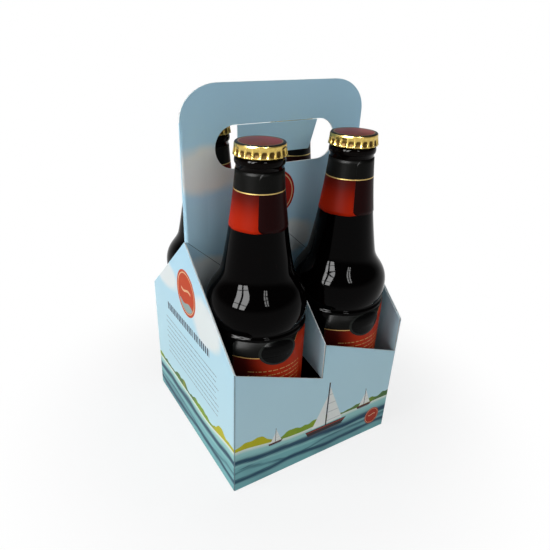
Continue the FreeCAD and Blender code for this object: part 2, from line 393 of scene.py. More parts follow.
@dataclass(frozen=True)
class Seal:
    """A plain oval seal: place along and up its face, its radii and its colour."""

    along: float
    height: float
    half_width: float
    half_height: float
    colour: Colour
    ring: Colour = ink(222, 176, 132)
    pale: Colour = ink(142, 164, 162)
    foot: float = -2.0
    ring_reach: Point = (0.85, 0.9)
    pale_edge: float = 0.83
    waves: float = 6.0
    wave_height: float = 0.06
    crest_height: float = 0.12
    crest_half: float = 0.05
    crest_reach: float = 0.5

    def lay(self, face: Face, ground: Value) -> Value:
        """Lay the seal over the print.

        Args:
            face: The face that has it.
            ground: The print under it.

        Returns:
            The print with the seal.
        """
        across, up = face.about(self.along, self.height, self.half_width, self.half_height)
        far = (across * across + up * up) ** 0.5
        wave = face.paint.maths("SINE", across * self.waves) * self.wave_height
        pale = (up < self.foot + wave) * (far < self.pale_edge)
        crest = (abs(up - self.crest_height - wave) < self.crest_half) * (abs(across) < self.crest_reach)
        return face.stack(ground, (far < 1.0, self.colour), (pale, self.pale),
                          (far.between(*self.ring_reach) | crest, self.ring))


@dataclass(frozen=True)
class Sky:
    """The pale blue that most of the board is printed with, between two heights."""

    top: Colour = ink(176, 217, 238)
    low: Colour = ink(187, 220, 231)
    cloud: Colour = ink(230, 232, 229)
    foot: float = 40.0
    head: float = 190.0

    def colour(self, paint: Paint, z: Value) -> Value:
        """The sky without its clouds."""
        return paint.mix(paint.rise(z, self.foot, self.head), self.low, self.top)


@dataclass(frozen=True)
class Streak:
    """A streak in the water, in millimetres: its level, how it sways, its core and its reach."""

    level: float
    sway: float
    core: float
    reach: float

    def mask(self, paint: Paint, height: Value, sway: Value) -> Value:
        """1 in the streak's core, falling to 0 at its reach."""
        return 1.0 - paint.rise(abs(height - self.level + sway * self.sway), self.core, self.reach)


@dataclass(frozen=True)
class Shore:
    """The hills, the beach and the sea, all round the carton."""

    level: float = 28.6
    swell: float = 4.0
    corner_lift: float = 5.0
    corner_reach: Point = (2.0, 42.0)
    bank: float = 1.0
    hill: float = 6.2
    corner_hill: float = 1.6
    meadow: Colour = ink(128, 158, 44)
    wood: Colour = ink(78, 112, 62)
    dune: Colour = ink(186, 180, 30)
    beach: Colour = ink(220, 228, 218)
    shallows: Colour = ink(152, 202, 200)
    teal: Colour = ink(92, 156, 164)
    deep: Colour = ink(14, 50, 80)
    drift_sway: float = 14.0
    grain_sway: float = 3.4
    wash_reach: Point = (3.0, 13.0)
    beach_reach: Point = (0.4, 3.4)
    near: Streak = Streak(9.5, -1.0, 0.6, 4.2)
    low: Streak = Streak(7.5, 0.8, 0.4, 3.0)
    far: Streak = Streak(17.0, 1.3, 0.3, 2.0)
    foam: Streak = Streak(13.0, -0.7, 0.2, 1.6)

    def lay(self, paint: Paint, sky: Value, at: tuple[Value, Value, Value], size: Carton) -> Value:
        """Lay the shore and the sea over the sky.

        Args:
            paint: The material being written.
            sky: The print above the shore.
            at: Millimetres to the right, to the back and up.
            size: The carton that it runs round.

        Returns:
            The whole landscape.
        """
        x, y, z = at
        round_it = paint.point(x, y)
        dx, dy = x + size.half(0), y + size.half(1)
        corner = 1.0 - paint.rise((dx * dx + dy * dy) ** 0.5, *self.corner_reach)
        swell = paint.noise(round_it, 0.022, 1.0) - 0.5
        shore = self.level + swell * self.swell + corner * self.corner_lift
        bumps = paint.noise(round_it, 0.055, 2.0, 0.4)
        crest = shore + self.bank + paint.rise(bumps, 0.34, 0.7) * self.hill + corner * self.corner_hill
        wooded = paint.rise(paint.noise(round_it, 0.019, 1.0), 0.44, 0.58)
        sandy = paint.rise(corner, 0.08, 0.45) | paint.rise(bumps, 0.56, 0.66) * 0.7
        land = paint.stack(self.meadow, (wooded, self.wood), (sandy, self.dune))
        under = shore - z
        colour = paint.mix(under > 0.0, sky, self.water(paint, at, under))
        return paint.mix(z.between(shore, crest), colour, land)

    def water(self, paint: Paint, at: tuple[Value, Value, Value], under: Value) -> Value:
        """Brushed water: a pale edge, then light and dark streaks that wander.

        Args:
            paint: The material being written.
            at: Millimetres to the right, to the back and up.
            under: Millimetres below the water's edge.

        Returns:
            The water's colour.
        """
        x, y, z = at
        drift = paint.noise(paint.point(x * 0.016, y * 0.016, z * 0.02), 1.0, 2.0)
        grain = paint.noise(paint.point(x * 0.06, y * 0.06, z * 0.9), 1.0, 3.0, 0.6)
        sway = (drift - 0.5) * self.drift_sway + (grain - 0.5) * self.grain_sway
        wash = paint.rise(under + (grain - 0.5) * 5.0, *self.wash_reach)
        pale = 1.0 - paint.rise(under + (grain - 0.5) * 1.5, *self.beach_reach)
        patch = paint.rise(drift, 0.44, 0.66)
        return paint.stack(
            self.shallows, (wash * 0.75, self.teal), (patch * wash * 0.5, self.deep),
            (grain * 0.3, self.shallows),
            (self.near.mask(paint, under, sway) * 0.92, self.deep),
            (self.low.mask(paint, z, sway) * 0.88, self.deep),
            (self.far.mask(paint, under, sway) * grain, self.deep),
            (self.foam.mask(paint, under, sway) * 0.5, self.shallows), (pale, self.beach))


class Spot(Enum):
    """Where boats sail on the long walls: place along the wall, water line and scale."""

    NEAR = (7.0, 20.5, 1.06)
    FAR = (40.0, 27.0, 0.42)
    FARTHEST = (-33.0, 27.5, 0.34)


@dataclass(frozen=True)
class Boat:
    """A small sailing boat, in units of its scale from its mast and its water line."""

    line: Colour = ink(58, 70, 86)
    sail: Colour = ink(232, 234, 230)
    hull: Colour = ink(56, 46, 48)
    stripe: Colour = ink(150, 56, 42)
    mast_half: float = 0.5
    mast: Point = (3.0, 38.0)
    sail_gap: float = 0.6
    sail_foot: float = 5.0
    boom: float = 13.0
    leech: float = 0.42
    jib_top: float = 24.0
    jib_slope: float = 2.2
    seam_pitch: float = 7.0
    seam: float = 0.5
    hull_top: float = 4.2
    bow: float = 13.0
    bow_rake: float = 0.9
    stern: float = 13.5
    stern_rake: float = 0.5
    band: Point = (2.6, 3.5)
    wake_depth: float = 1.8
    wake_half: float = 15.0
    wake_spread: float = 3.0

    def lay(self, face: Face, ground: Value, spot: Spot) -> Value:
        """Lay a boat over the print.

        Args:
            face: The walls that have it.
            ground: The print under it.
            spot: Where it sails and how large it is.

        Returns:
            The print with the boat.
        """
        along, water, scale = spot.value
        u, v = face.about(along, water, scale, scale)
        aloft = v - self.sail_foot
        main = (u > self.sail_gap) * (v > self.sail_foot) * (u + aloft * self.leech < self.boom)
        jib = (u < -self.sail_gap) * (v > self.sail_foot) * (aloft < self.jib_top + u * self.jib_slope)
        seam = (v % self.seam_pitch < self.seam) * main
        mast = (abs(u) < self.mast_half) * v.between(*self.mast)
        hull = v.between(0.0, self.hull_top) * u.between(
            -self.stern - v * self.stern_rake, self.bow + v * self.bow_rake)
        wake = v.between(-self.wake_depth, 0.0) * (abs(u) < self.wake_half + v * self.wake_spread)
        return face.stack(ground, (wake * 0.6, self.line), (main | jib, self.sail), (seam * 0.4, self.line),
                          (mast | hull, self.hull), (hull * v.between(*self.band), self.stripe))


@dataclass(frozen=True)
class Lines:
    """Fine ruled lines on the left wall, with a row of bold strokes above them, in millimetres."""

    foot: float = 45.0
    pitch: float = 4.3
    count: float = 8.0
    reach: Point = (-45.0, 32.0)
    ragged: Point = (8.0, 18.0)
    title: Point = (83.6, 89.4)
    title_reach: Point = (-37.0, 31.0)
    stroke_share: float = 0.66

    def lay(self, face: Face, ground: Value, line: Colour) -> Value:
        """Lay the lines over the print.

        Args:
            face: The wall that has them.
            ground: The print under them.
            line: Their colour.

        Returns:
            The print with the lines.
        """
        paint, along, up = face.paint, face.along, face.up
        row = (up - self.foot) / self.pitch
        rag = paint.noise(paint.point(0.0, paint.maths("FLOOR", row) * 3.7), 1.0, 0.0)
        block = up.between(self.foot, self.foot + self.pitch * self.count) * along.between(
            *(end + rag * more for end, more in zip(self.reach, self.ragged)))
        rule = paint.rules(along * 1.5, row, 7.0, 0.42) * block
        kept = paint.noise(paint.point(along * 0.35, 3.0), 1.0, 0.0) > 0.3
        strokes = (along * 0.36 % 1.0 < self.stroke_share) * kept
        title = strokes * up.between(*self.title) * along.between(*self.title_reach)
        return face.stack(ground, (rule * 0.6, line), (title, line))


@dataclass(frozen=True)
class Board:
    """Coated carton board: its sky, its bare inner side and how it shines."""

    sky: Sky = Sky()
    bare: Colour = ink(196, 196, 190)
    roughness: float = 0.42
    fibre_depth: float = 0.00003

    def close(self, paint: Paint, colour: Value, rougher: Term = 0.0) -> Material:
        """Close a board's material with its fine fibre.

        Args:
            paint: The material being written.
            colour: Its print.
            rougher: How much rougher than the coated face it is.

        Returns:
            The finished material.
        """
        fibre = paint.noise(paint.where, 900.0, 4.0, 0.6)
        return paint.finish(fibre, self.fibre_depth, Base_Color=colour,
                            Roughness=self.roughness + fibre * 0.12 + rougher, Specular_IOR_Level=0.08)


@dataclass(frozen=True)
class PrintedBoard(Board):
    """The carton's board, printed with a plain seaside on its outer side."""

    carton: Carton = Carton()
    shore: Shore = Shore()
    boat: Boat = Boat()
    lines: Lines = Lines()
    cut: Colour = ink(240, 244, 243)
    # painted shade: darker blue laid along the outer walls' vertical corner folds
    fold_shade: Colour = ink(72, 98, 110)
    line: Colour = ink(58, 70, 86)
    # colour of the printed ruled lines, also used for the slits' painted shade
    skin: float = 0.6
    facing: float = 0.5
    slanting: float = 0.3
    handle_half: float = 3.0
    fold_width: float = 4.0
    fold_top: float = 214.5
    floor_top: float = 1.5
    # where the slits' dark lines of painted shade start and run, and how wide they are
    slit_starts: Point = (-61.5, 3.0)
    slit_top: float = 147.5
    slit_fall: float = 0.9
    slit_reach: float = 34.0
    slit_half: float = 0.26
    front_seal: Seal = Seal(49.6, 14.4, 6.4, 7.2, ink(166, 48, 30))
    left_seal: Seal = Seal(-1.5, 112.0, 14.5, 16.0, ink(190, 62, 18), foot=-0.45)
    handle_seal: Seal = Seal(0.5, 168.5, 13.2, 14.5, ink(160, 34, 26))
    handle_clouds: tuple[Cloud, ...] = (Cloud(-50.0, 189.0, 35.0, 16.0), Cloud(-42.0, 122.0, 44.0, 15.0),
                                        Cloud(14.0, 138.0, 24.0, 14.0), Cloud(58.0, 168.0, 18.0, 13.0))
    left_clouds: tuple[Cloud, ...] = (Cloud(-34.0, 112.0, 26.0, 13.0), Cloud(26.0, 104.0, 22.0, 17.0))

    def make(self) -> Material:
        """Write the carton's material.

        Returns:
            The finished material.
        """
        paint = Paint("printed_board")
        x, y, z = at = paint.millimetres()
        nx, ny, nz = paint.axes("Normal")
        size = self.carton
        half_width, half_depth = size.half(0), size.half(1)
        outside = (abs(x) > half_width - size.board / 2) | (abs(y) > half_depth - size.board / 2)
        front = (y < self.skin - half_depth) * (ny < -self.facing)
        back = (y > half_depth - self.skin) * (ny > self.facing)
        in_handle = abs(y) < self.handle_half
        wall = Face(paint, x * front - x * back, z, front | back)
        left = Face(paint, -y, z, (x < self.skin - half_width) * (nx < -self.facing))
        panel = Face(paint, x, z, in_handle * (1.0 - outside) * (ny < -self.slanting))
        drift = paint.noise(paint.where, 26.0, 3.0, 0.5)
        sky = self.sky.colour(paint, z)
        for face, clouds in ((panel, self.handle_clouds), (left, self.left_clouds)):
            for cloud in clouds:
                sky = cloud.lay(face, sky, drift, self.sky.cloud)
        colour = paint.mix(outside, sky, self.shore.lay(paint, sky, at, size))
        for spot in Spot:
            colour = self.boat.lay(wall, colour, spot)
        colour = self.lines.lay(left, colour, self.line)
        front_face = Face(paint, x, z, front)
        for face, seal in ((front_face, self.front_seal), (left, self.left_seal), (panel, self.handle_seal)):
            colour = seal.lay(face, colour)
        # painted shade along the slanted cuts in the handle's front ply
        colour = self.slit_shades(panel, colour)
        handle = in_handle * (z > size.gable_peak)
        folded = handle * (abs(x) > half_width - self.fold_width) * (z < self.fold_top)
        rim = handle * (abs(ny) < self.facing) * (1.0 - folded)
        edge = (abs(nz) > self.slanting) * (z > self.floor_top) | rim
        inner_wall = (1.0 - outside) * (abs(y) > half_depth - size.board * 1.6)
        lining = inner_wall | (z < self.floor_top) * (nz > self.facing)
        # Painted shade along the vertical corner folds of the outer walls.
        corner_shade = (abs(nx) > self.slanting) * (abs(ny) > self.slanting) * outside
        colour = paint.stack(colour, (lining, self.bare), (corner_shade * 0.8, self.fold_shade), (edge, self.cut))
        return self.close(paint, colour, edge * 0.3)

    def slit_shades(self, panel: Face, ground: Value) -> Value:
        """Fine slanted slits in the handle's front ply, one above each cell, drawn as dark lines of painted
        shade.

        Args:
            panel: The handle's front.
            ground: The print under them.

        Returns:
            The print with the slits' painted shade.
        """
        colour = ground
        for start in self.slit_starts:
            along = panel.along - start
            drop = self.slit_top - along * self.slit_fall
            # painted shade: a dark line where the cut's edge throws its shadow
            slit_shade = (abs(panel.up - drop) < self.slit_half) * along.between(0.0, self.slit_reach)
            colour = panel.stack(colour, (slit_shade * 0.7, self.line))
        return colour


@dataclass(frozen=True)
class FlapBoard(Board):
    """The hand hole flap: printed in front, plain behind, cut at its sides."""

    cut: Colour = ink(222, 228, 228)

    def make(self) -> Material:
        """Write the flap's material.

        Returns:
            The finished material.
        """
        paint = Paint("flap_board")
        nx, ny, _ = paint.axes("Normal")
        sky = self.sky.colour(paint, paint.millimetres()[2])
        return self.close(paint, paint.stack(sky, (ny > 0.35, self.bare), (abs(nx) > 0.5, self.cut)))


def wear(obj: Object, *materials: Material) -> None:
    """Put materials on an object in place of those it has.

    Args:
        obj: The object.
        *materials: Its new materials, in order.
    """
    obj.data.materials.clear()
    for material in materials:
        obj.data.materials.append(material)


def arc(centre: Point, across: float, up: float, start: float, stop: float, steps: int) -> list[Point]:
    """Points round a part of an oval.

    Args:
        centre: Radius and height of the oval's middle.
        across: Its half width.
        up: Its half height.
        start: Where the part starts, in degrees from the outward side.
        stop: Where it ends.
        steps: How many points follow the first.

    Returns:
        The points, both ends with them.
    """
    turns = [math.radians(start + (stop - start) * step / steps) for step in range(steps + 1)]
    return [(centre[0] + across * math.cos(turn), centre[1] + up * math.sin(turn)) for turn in turns]


def swoop(start: Vector, leave: Vector, arrive: Vector, end: Vector, steps: int) -> list[Point]:
    """Points along a smooth curve that its two handles draw.

    Args:
        start: Radius and height where it starts.
        leave: Handle at the start.
        arrive: Handle at the end.
        end: Radius and height where it ends.
        steps: How many points follow the start.

    Returns:
        The points after the start, up to the end.
    """
    a, b, c, d = start, start + leave, end - arrive, end
    points = []
    for step in range(1, steps + 1):
        t = step / steps
        s = 1.0 - t
        at = a * s ** 3 + b * 3 * s * s * t + c * 3 * s * t * t + d * t ** 3
        points.append((at.x, at.y))
    return points


@dataclass(frozen=True)
class BottleShape:
    """The glass bottle's sizes in millimetres, as its solid has them."""

    height: float = 207.2
    body: float = 30.1
    heel: float = 4.0
    punt_rise: float = 4.0
    punt_ring: float = 24.0
    body_top: float = 105.2
    waist_rise: float = 1.8
    waist_depth: float = 1.2
    shoulder_rise: float = 9.0
    shoulder_sweep: float = 6.3
    shoulder_fullness: float = 12.0
    root_rise: float = 22.1
    root_radius: float = 20.9
    root_lean: float = 0.2
    root_sweep: float = 9.0
    neck_top: float = 196.6
    neck_radius: float = 12.7
    neck_lean: float = 0.075
    collar: float = 13.6
    collar_height: float = 4.0
    finish: float = 13.1
    finish_height: float = 5.0
    finish_round: float = 1.4

    def neck(self, steps: int = 14) -> list[Point]:
        """Points from the body over the shoulder to the neck's top.

        Args:
            steps: How many points the shoulder and the neck each have.

        Returns:
            Radius and height of each point.
        """
        body = Vector((self.body, self.body_top))
        waist = Vector((self.body - self.waist_depth, self.body_top + self.waist_rise))
        widest = Vector((self.body, waist.y + self.shoulder_rise))
        root = Vector((self.root_radius, widest.y + self.root_rise))
        top = Vector((self.neck_radius, self.neck_top))
        third = (top.y - root.y) / 3
        up = Vector((0.0, 1.0))
        lean = Vector((-self.root_lean, 1.0))
        half_waist = up * self.waist_rise / 2
        return ([(self.body, self.body_top)]
                + swoop(body, half_waist, half_waist, waist, 6)
                + swoop(waist, half_waist, up * self.shoulder_sweep, widest, 10)
                + swoop(widest, up * self.shoulder_fullness, lean * self.root_sweep, root, steps)
                + swoop(root, lean * third, Vector((-self.neck_lean, 1.0)) * third, top, steps))

    def radius_at(self, height: float) -> float:
        """Radius of the glass at a height on the body, shoulder or neck.

        Args:
            height: Millimetres above the bottle's foot.

        Returns:
            The radius in millimetres.
        """
        if height <= self.body_top:
            return self.body
        points = self.neck()
        for (r0, z0), (r1, z1) in zip(points, points[1:]):
            if z0 <= height <= z1:
                return r0 + (r1 - r0) * (height - z0) / (z1 - z0)
        return self.neck_radius

    def outline(self) -> list[Point]:
        """Points of the outside, from the middle of the base to the middle of the mouth.

        Returns:
            Radius and height of each point.
        """
        lip = self.height - self.finish_height
        half_collar = self.collar_height / 2
        base = [(0.0, self.punt_rise), (self.punt_ring * 0.7, self.punt_rise / 2), (self.punt_ring, 0.0)]
        heel = arc((self.body - self.heel, self.heel), self.heel, self.heel, -90, 0, 6)
        collar = arc((self.neck_radius, self.neck_top + half_collar), self.collar - self.neck_radius,
                     half_collar, -90, 90, 8)
        mouth = arc((self.finish - self.finish_round, self.height - self.finish_round),
                    self.finish_round, self.finish_round, 0, 90, 4)
        return (base + heel + self.neck() + collar[1:]
                + [(self.neck_radius, lip), (self.finish, lip + 0.2)] + mouth + [(0.0, self.height)])


def place(name: str, mesh: BMesh, centre: Vector, smooth: bool = True) -> Object:
    """Turn a mesh in millimetres about its own axis into an object in the frame.

    Args:
        name: The object's name.
        mesh: The mesh, which is used up.
        centre: The axis's foot in metres.
        smooth: Whether its faces are shaded smooth.

    Returns:
        The object, at the origin, with its place in its mesh.
    """
    mesh.transform(Matrix.Translation(centre) @ Matrix.Scale(MM, 4))
    bmesh.ops.recalc_face_normals(mesh, faces=mesh.faces)
    data = bpy.data.meshes.new(name)
    mesh.to_mesh(data)
    mesh.free()
    data.polygons.foreach_set("use_smooth", [smooth] * len(data.polygons))
    obj = bpy.data.objects.new(name, data)
    bpy.context.scene.collection.objects.link(obj)
    return obj


def lathe(profile: Sequence[Point], sides: int = 96) -> BMesh:
    """Spin an outline about the axis into a closed mesh.

    Args:
        profile: Radius and height of its points, both ends on the axis.
        sides: How many steps go round.

    Returns:
        The mesh in millimetres.
    """
    mesh = bmesh.new()
    rings = []
    for radius, height in profile:
        if radius < 1e-6:
            rings.append([mesh.verts.new((0.0, 0.0, height))])
            continue
        rings.append([mesh.verts.new((radius * math.cos(2 * math.pi * n / sides),
                                      radius * math.sin(2 * math.pi * n / sides), height))
                      for n in range(sides)])
    for low, high in zip(rings, rings[1:]):
        for n in range(sides):
            m = (n + 1) % sides
            corners = [low[n % len(low)], low[m % len(low)], high[m % len(high)], high[n % len(high)]]
            mesh.faces.new(list(dict.fromkeys(corners)))
    return mesh


@dataclass(frozen=True)
class Sheet:
    """A paper sheet on the glass: where it starts and ends, and how it lies."""

    start: float
    span: float
    low: float
    high: float
    corner: float
    lift_start: float
    lift_end: float
    thickness: float = 0.12
    columns: int = 120
    rows: int = 12
    ripple: float = 0.0
    ripple_turns: Point = (37.0, 11.0)
    corner_steps: int = 6

    def edge(self, share: float, length: float) -> float:
        """How far a rounded corner draws the sheet's top and foot in.

        Args:
            share: Place along the sheet, from 0 to 1.
            length: The sheet's length in millimetres.

        Returns:
            The draw in millimetres.
        """
        near = min(share, 1.0 - share) * length
        if near >= self.corner:
            return 0.0
        return self.corner - math.sqrt(max(self.corner ** 2 - (self.corner - near) ** 2, 0.0))

    def mesh(self, shape: BottleShape) -> BMesh:
        """Build the sheet about the bottle's axis.

        Args:
            shape: The glass it lies on.

        Returns:
            The mesh in millimetres, with a UV map in millimetres along and up the sheet.
        """
        mesh = bmesh.new()
        layer = mesh.loops.layers.uv.new("sheet")
        length = math.radians(self.span) * shape.radius_at((self.low + self.high) / 2)
        flat: dict[BMVert, Point] = {}
        skins = []
        for depth in (0.0, self.thickness):
            skin = []
            for share in self.places(length):
                draw = self.edge(share, length)
                wave = self.ripple * math.prod(math.sin(share * turns) for turns in self.ripple_turns)
                low = self.low + draw + wave
                high = self.high - draw
                turn = math.radians(self.start + self.span * share)
                lift = self.lift_start + (self.lift_end - self.lift_start) * share + depth
                column = []
                for row in range(self.rows + 1):
                    height = low + (high - low) * row / self.rows
                    radius = shape.radius_at(height) + lift
                    vertex = mesh.verts.new((radius * math.cos(turn), radius * math.sin(turn), height))
                    flat[vertex] = (share * length, height)
                    column.append(vertex)
                skin.append(column)
            skins.append(skin)
        self.join(mesh, skins)
        for face in mesh.faces:
            for loop in face.loops:
                loop[layer].uv = flat[loop.vert]
        return mesh

    def places(self, length: float) -> list[float]:
        """Shares of the length where the columns stand, closer in the rounded corners.

        Args:
            length: The sheet's length in millimetres.

        Returns:
            The shares, from 0 to 1.
        """
        turn = self.corner / length
        steps = self.corner_steps
        ends = [turn * (1.0 - math.cos(math.pi / 2 * n / steps)) for n in range(steps)]
        middle = [turn + (1.0 - 2 * turn) * n / self.columns for n in range(self.columns + 1)]
        return ends + middle + [1.0 - share for share in reversed(ends)]

    def join(self, mesh: BMesh, skins: list[list[list[BMVert]]]) -> None:
        """Close the two skins with faces and a rim.

        Args:
            mesh: The mesh that holds them.
            skins: The inner and the outer skin, as columns of vertices.
        """
        inner, outer = skins
        last = len(inner) - 1
        for n in range(last):
            for row in range(self.rows):
                mesh.faces.new((outer[n][row], outer[n + 1][row], outer[n + 1][row + 1], outer[n][row + 1]))
                mesh.faces.new((inner[n][row], inner[n][row + 1], inner[n + 1][row + 1], inner[n + 1][row]))
            for row in (0, self.rows):
                mesh.faces.new((inner[n][row], inner[n + 1][row], outer[n + 1][row], outer[n][row]))
        for n in (0, last):
            for row in range(self.rows):
                mesh.faces.new((inner[n][row], outer[n][row], outer[n][row + 1], inner[n][row + 1]))


@dataclass(frozen=True)
class BrownGlass:
    """Dark bottle glass with the beer behind it, which reads as black."""

    deep: Colour = ink(3, 2, 2)
    amber: Colour = ink(14, 8, 6)
    thin: Point = (168.0, 206.0)

    def make(self) -> Material:
        """Write the glass's material, paler in the thin neck.

        Returns:
            The finished material.
        """
        paint = Paint("brown_glass")
        thin = paint.rise(paint.millimetres()[2], *self.thin)
        wavy = paint.noise(paint.where, 34.0, 2.0, 0.4)
        return paint.finish(wavy, 0.0005, Base_Color=paint.mix(thin * 0.5, self.deep, self.amber),
                            Roughness=0.03 + wavy * 0.03, IOR=1.52, Specular_IOR_Level=0.035)


@dataclass(frozen=True)
class Paper:
    """What the two labels' papers share: a gold line between black and red, in millimetres."""

    line_height: float
    black: Colour = ink(15, 15, 13)
    roughness: float = 0.3
    grain_depth: float = 0.00002

    def close(self, paint: Paint, colour: Value, line: Value, smoother: Term = 0.0) -> Material:
        """Close a label's material with the paper's grain.

        Args:
            paint: The material being written.
            colour: Its print.
            line: Mask of the metal line.
            smoother: How much smoother than the paper it is.

        Returns:
            The finished material.
        """
        grain = paint.noise(paint.where, 700.0, 3.0)
        return paint.finish(grain, self.grain_depth, Base_Color=colour, Metallic=line * 0.6,
                            Roughness=self.roughness + grain * 0.1 - smoother, Specular_IOR_Level=0.04)


@dataclass(frozen=True)
class NeckPaper(Paper):
    """The neck label's print: black above a gold line, and red that darkens to its foot and left."""

    foot: float = 0.0
    line_half: float = 0.28
    lit: Point = (22.0, 62.0)
    gold: Colour = ink(196, 168, 104)
    orange: Colour = ink(180, 34, 2)
    dark: Colour = ink(30, 2, 2)

    def make(self) -> Material:
        """Write the neck label's material.

        Returns:
            The finished material.
        """
        paint = Paint("neck_paper")
        along, up, _ = paint.axes("UV")
        fall = paint.rise(up, self.foot, self.line_height)
        line = abs(up - self.line_height) < self.line_half
        colour = paint.stack(self.dark, (paint.rise(along, *self.lit), self.orange),
                             (fall * fall * 0.8, self.dark), (up > self.line_height, self.black),
                             (line, self.gold))
        return self.close(paint, colour, line)


@dataclass(frozen=True)
class BodyPaper(Paper):
    """The body label's print: a plain oval on black over red, with fine gold rules."""

    length: float = 0.0
    head: float = 0.0
    roughness: float = 0.34
    line_half: float = 0.25
    lit: Point = (6.0, 26.0)
    curve: Point = (7.0, 17.0)
    curve_rise: float = 14.0
    oval_height: float = 96.5
    oval_share: float = 0.72
    oval_radius: float = 12.2
    border_radius: float = 10.6
    frame_side: Point = (1.0, 0.5)
    frame_head: Point = (0.9, 0.5)
    pitch: float = 3.1
    rules_top: float = 86.0
    rules_half: float = 18.0
    jet: Colour = ink(9, 9, 9)
    grey: Colour = ink(40, 42, 40)
    gold: Colour = ink(190, 152, 92)
    orange: Colour = ink(168, 42, 12)
    dark: Colour = ink(64, 6, 2)

    def make(self) -> Material:
        """Write the body label's material.

        Returns:
            The finished material.
        """
        paint = Paint("body_paper")
        along, up, _ = paint.axes("UV")
        half = self.length / 2
        middle = along - half
        red = paint.mix(paint.rise(along, *self.lit), self.dark, self.orange)
        edge = self.line_height + paint.rise(middle, *self.curve) * self.curve_rise
        line = abs(up - edge) < self.line_half
        oval_up = (up - self.oval_height) / self.oval_share
        far = (middle * middle + oval_up * oval_up) ** 0.5
        oval = far < self.oval_radius
        frame = ((abs(middle) > half - self.frame_side[0]) | (up > self.head - self.frame_head[0])) * (
            abs(middle) < half - self.frame_side[1]) * (up < self.head - self.frame_head[1])
        rules = paint.rules(along * 0.7, up / self.pitch, 5.0, 0.44) * (up < self.rules_top) * (
            abs(middle) < self.rules_half)
        colour = paint.stack(red, (up > edge, self.black), (line, self.gold), (rules * 0.8, self.gold),
                             (frame * 0.7, self.grey), (oval, self.jet),
                             (oval * (far > self.border_radius), self.grey))
        return self.close(paint, colour, line, oval * 0.22)


@dataclass(frozen=True)
class CapGold:
    """Lacquered tinplate on the cap's skirt, worn in places, with painted shade darkening its scoops."""

    bright: Colour = ink(204, 178, 100)
    shade: Colour = ink(150, 118, 44)
    # painted shade colour laid in the scoops
    deep: Colour = ink(80, 58, 12)
    worn: Point = (0.4, 0.7)
    # where the scoops' painted shade fades in
    scoop_shade_reach: Point = (0.36, 0.72)

    def make(self) -> Material:
        """Write the skirt's material.

        Returns:
            The finished material.
        """
        paint = Paint("cap_gold")
        scoop = paint.output(paint.node("ShaderNodeAttribute", {"attribute_name": "scoop"}), "Fac")
        wear_mark = paint.noise(paint.where, 420.0, 3.0, 0.6)
        # Painted shade: the scoops are darkened and made less metallic and rougher.
        scoop_shade = paint.rise(scoop, *self.scoop_shade_reach)
        colour = paint.stack(self.bright, (paint.rise(wear_mark, *self.worn) * 0.4, self.shade),
                             (scoop_shade, self.deep))
        return paint.finish(wear_mark, 0.00003, Base_Color=colour, Metallic=1.0 - scoop_shade * 0.75,
                            Roughness=0.2 + wear_mark * 0.1 + scoop_shade * 0.2, Specular_IOR_Level=0.1)


@dataclass(frozen=True)
class CapPrint:
    """The cap's printed disc: red-brown inside a thin gold ring and a dark rim."""

    disc: Colour = ink(124, 36, 30)
    warm: Colour = ink(150, 70, 36)
    bright: Colour = ink(186, 30, 34)
    rim: Colour = ink(22, 20, 18)
    gold: Colour = ink(190, 150, 92)
    gold_radius: float = 11.3
    rim_radius: float = 11.7
    lit: Point = (-1.0, 9.0)

    def make(self) -> Material:
        """Write the disc's material.

        Returns:
            The finished material.
        """
        paint = Paint("cap_print")
        x, y, _ = paint.axes("UV")
        far = (x * x + y * y) ** 0.5
        tone = paint.noise(paint.where, 60.0, 2.0)
        colour = paint.stack(self.disc, (paint.rise(tone, 0.4, 0.7) * 0.5, self.warm),
                             (paint.rise(x, *self.lit) * 0.6, self.bright),
                             (far > self.gold_radius, self.gold), (far > self.rim_radius, self.rim))
        return paint.finish(Base_Color=colour, Roughness=0.34 + tone * 0.06, Specular_IOR_Level=0.2)


class Cell(Enum):
    """The four cells, with the bottle's turn about its axis in degrees."""

    FRONT_LEFT = ("front_left", 0.0)
    FRONT_RIGHT = ("front_right", 6.0)
    BACK_LEFT = ("back_left", 151.0)
    BACK_RIGHT = ("back_right", -38.0)

    @property
    def tag(self) -> str:
        """The cell's name as its nodes have it."""
        return self.value[0]

    @property
    def turn(self) -> float:
        """How far the bottle is turned about its axis."""
        return self.value[1]


